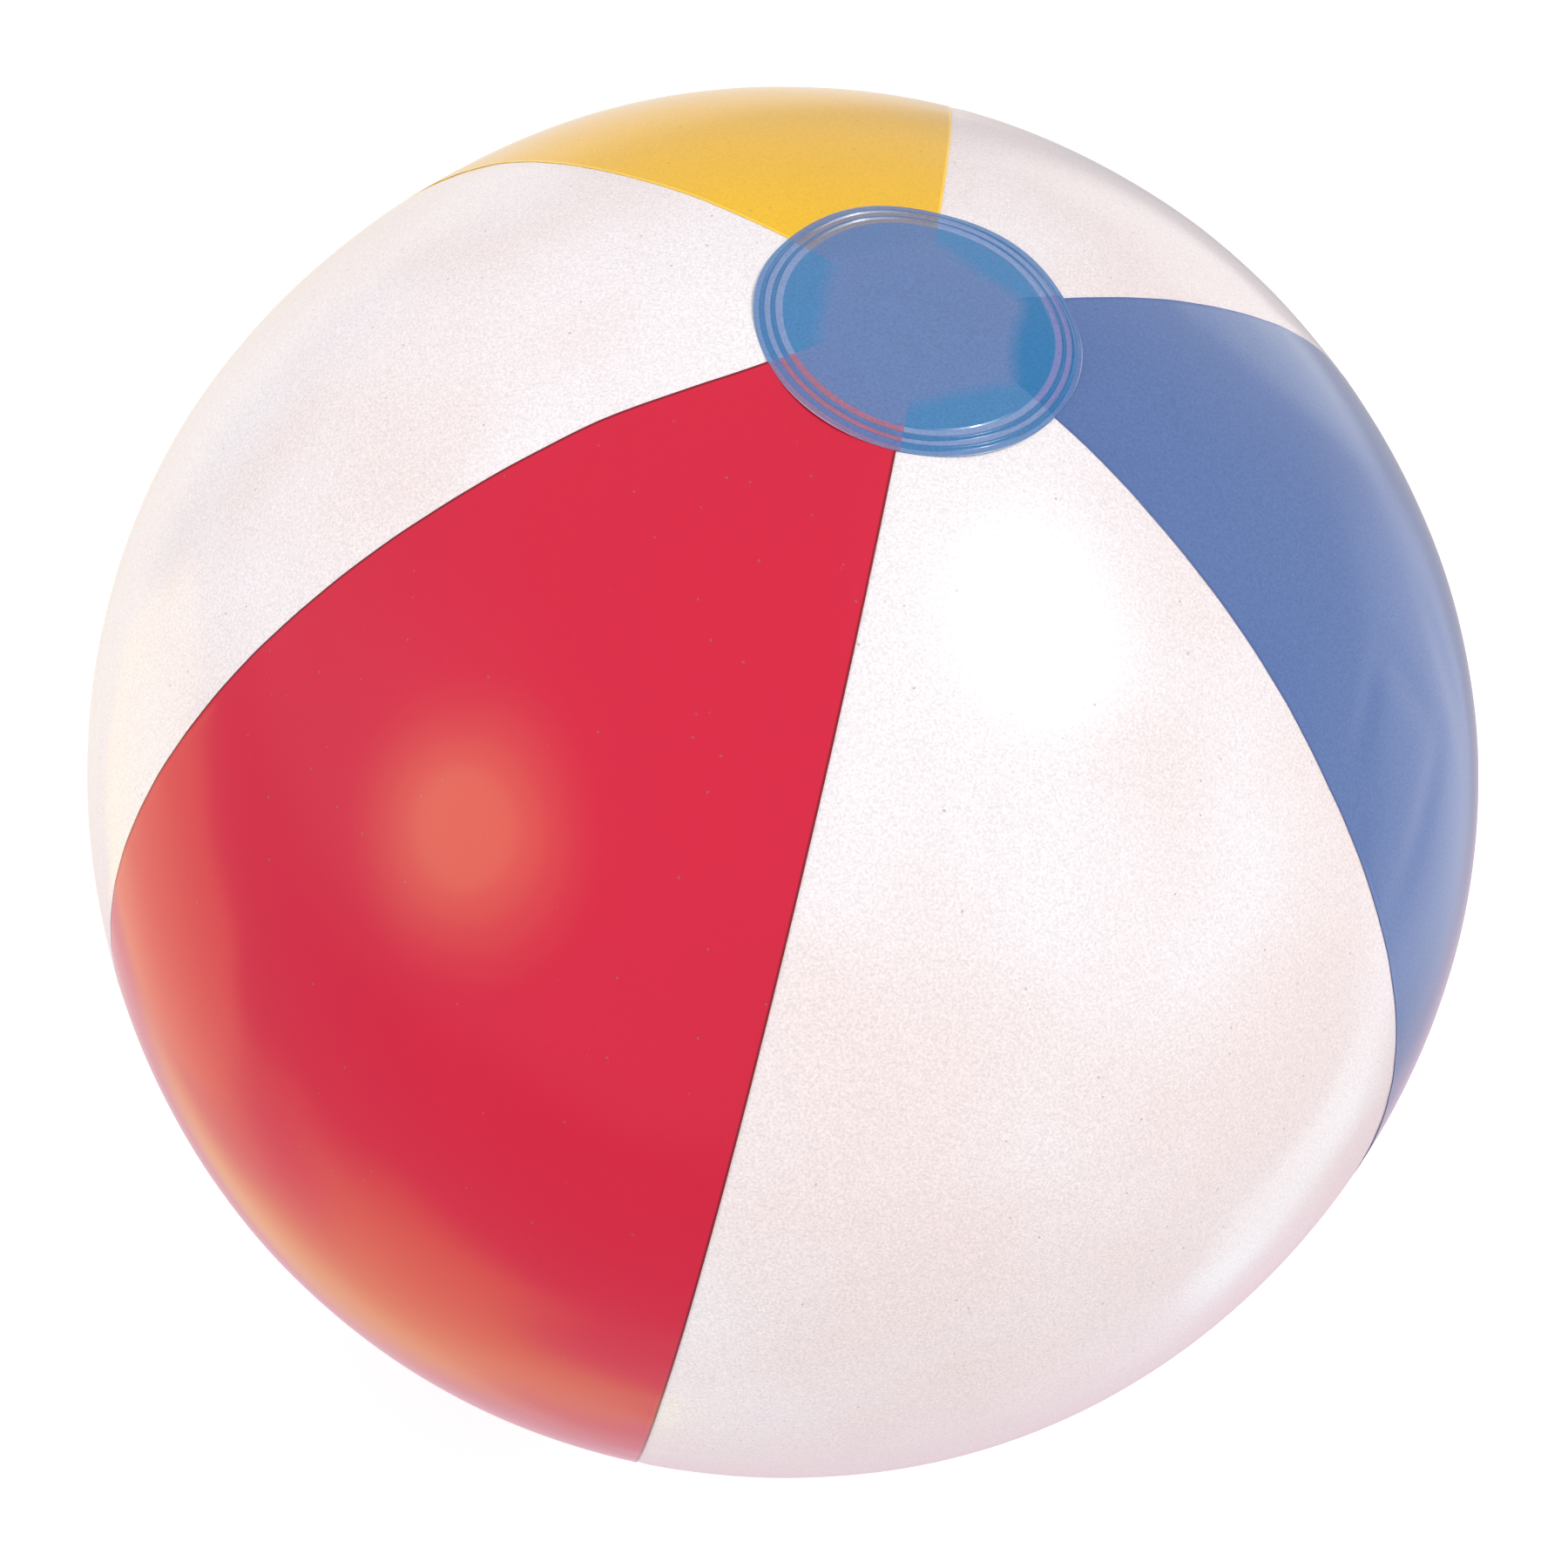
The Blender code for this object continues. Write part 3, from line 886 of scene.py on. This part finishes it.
def add_softbox(name, direction, distance, half_angle, radiance, colour, use="both"):
    """A round softbox that faces the ball and fades towards its edge, made of nested discs."""
    towards = Vector(direction).normalized()
    layers = ((0.55, 0.40), (0.80, 0.30), (1.05, 0.20), (1.30, 0.10))  # share of size, of radiance
    for i, (size, strength) in enumerate(layers):
        radius = distance * sin(radians(half_angle)) * size
        light = bpy.data.lights.new(f"{name}_{i}", "AREA")
        light.shape = "DISK"
        light.size = 2 * radius
        light.energy = radiance * strength * pi * pi * radius**2
        light.color = colour
        lamp = bpy.data.objects.new(light.name, light)
        bpy.context.scene.collection.objects.link(lamp)
        lamp.location = towards * (distance + 0.002 * i)
        lamp.rotation_euler = towards.to_track_quat("Z", "Y").to_euler()
        lamp.visible_camera = False
        lamp.visible_diffuse = use != "gloss"
        lamp.visible_glossy = use != "fill"


def add_world():
    """A pale room, darker below the horizon, with a pink ground and patches of other colours."""
    world = bpy.data.worlds.new("studio")
    bpy.context.scene.world = world
    nodes = Nodes(world, "Background", "Generated")

    def nearness(azimuth, elevation, ragged):
        """The cosine of the angle from one direction, with a ragged edge."""
        a, b = radians(azimuth), radians(elevation)
        node = nodes.add("ShaderNodeVectorMath", operation="DOT_PRODUCT")
        nodes.put(node.inputs[0], nodes.place)
        nodes.put(node.inputs[1], (cos(a) * cos(b), sin(a) * cos(b), sin(b)))
        wobble = nodes.math("MULTIPLY_ADD", nodes.noise(2.6, 1), ragged, -ragged / 2)
        return nodes.math("ADD", wobble, node.outputs["Value"])

    down = nearness(0, -90, 0.08)
    colour = nodes.mix(nodes.ramp(down, ((0.0, 0.0), (0.20, 1.0))), ROOM, WALL)
    colour = nodes.mix(nodes.ramp(down, ((0.55, 0.0), (0.85, 1.0))), colour, GROUND)
    for azimuth, elevation, ragged, start, full, tint in ROOM_PATCHES:
        share = nodes.ramp(nearness(azimuth, elevation, ragged), ((start, 0.0), (full, 1.0)))
        colour = nodes.mix(share, colour, tint)
    nodes.set(Color=colour)


def add_camera():
    """The photograph's viewing angle, with the camera rolled about its own axis."""
    azimuth, elevation, roll = radians(-5.2), radians(53.95), radians(16.78)
    distance = 4.5 * 0.205  # 4.5 of the ball's radii
    back = Vector((sin(azimuth) * cos(elevation), -cos(azimuth) * cos(elevation), sin(elevation)))
    right = Vector((0, 0, 1)).cross(back).normalized()
    up = back.cross(right)
    across = cos(roll) * right + sin(roll) * up
    upward = cos(roll) * up - sin(roll) * right
    camera = bpy.data.cameras.new("camera")
    camera.sensor_width = 36
    camera.lens = 70.2
    camera.shift_x = 0.0016
    camera.shift_y = -0.0011
    holder = bpy.data.objects.new("camera", camera)
    bpy.context.scene.collection.objects.link(holder)
    axes = Matrix((across, upward, back)).transposed().to_4x4()
    holder.matrix_world = Matrix.Translation(back * distance) @ axes
    bpy.context.scene.camera = holder


# ---------------------------------------------------------------------------
# The scene
# ---------------------------------------------------------------------------
SLOTS = {row["node"]: row["material_slot"] for row in frame["record"]["subparts"]}

add_camera()
# Each film: body colour, the colour it drifts to at random and as painted shading on its +Y side, its
# edge colour beside the cut (on yellow a painted glint), and the depth of its grain.
red = gore_material("red_film", srgb(202, 12, 52), srgb(198, 10, 51), srgb(124, 4, 24), 0.03)
blue = gore_material("blue_film", srgb(84, 113, 167), srgb(90, 117, 169), srgb(74, 98, 152), 0.22)
yellow = gore_material("yellow_film", srgb(241, 189, 6), srgb(236, 183, 10), srgb(246, 202, 50), 0.14)
white = gore_material("white_film", srgb(245, 240, 240), srgb(240, 227, 223), srgb(214, 206, 206), 0.22)
finishes = {"red_vinyl": red, "blue_vinyl": blue, "yellow_vinyl": yellow, "white_vinyl": white}
for gore, (name, _, _) in enumerate(GORES):
    add_gore(gore, finishes[SLOTS[name]])
disc_film = disc_material()
add_disc("polar_disc_top", True, disc_film)
add_disc("polar_disc_bottom", False, disc_film)
valve_vinyl = valve_material()
for add_piece in (add_flange, add_membrane, add_stem, add_plug, add_flap, add_strap):
    add_piece(valve_vinyl)
add_valve_patch(white)

add_floor()
add_world()
bpy.context.scene.view_settings.view_transform = "Standard"
add_softbox("key", (0.466, -0.012, 0.884), 3.0, 16, 8.3, (1.0, 0.985, 0.97))
add_softbox("key_core", (0.466, -0.012, 0.884), 2.9, 3, 70, (1.0, 0.985, 0.97), "gloss")
add_softbox("warm_glow", (-0.711, -0.595, 0.375), 1.2, 16, 3.0, (0.74, 0.92, 0.33), "gloss")
add_softbox("left_fill", (-0.86, -0.40, 0.26), 2.5, 30, 3.15, (1.0, 0.985, 0.98), "fill")
add_softbox("front_fill", (0.64, -0.76, -0.02), 2.5, 30, 2.0, (1.0, 0.98, 0.97), "fill")
add_softbox("back_fill", (-0.2, 0.9, 0.4), 2.5, 30, 0.6, (1.0, 0.98, 0.97), "fill")
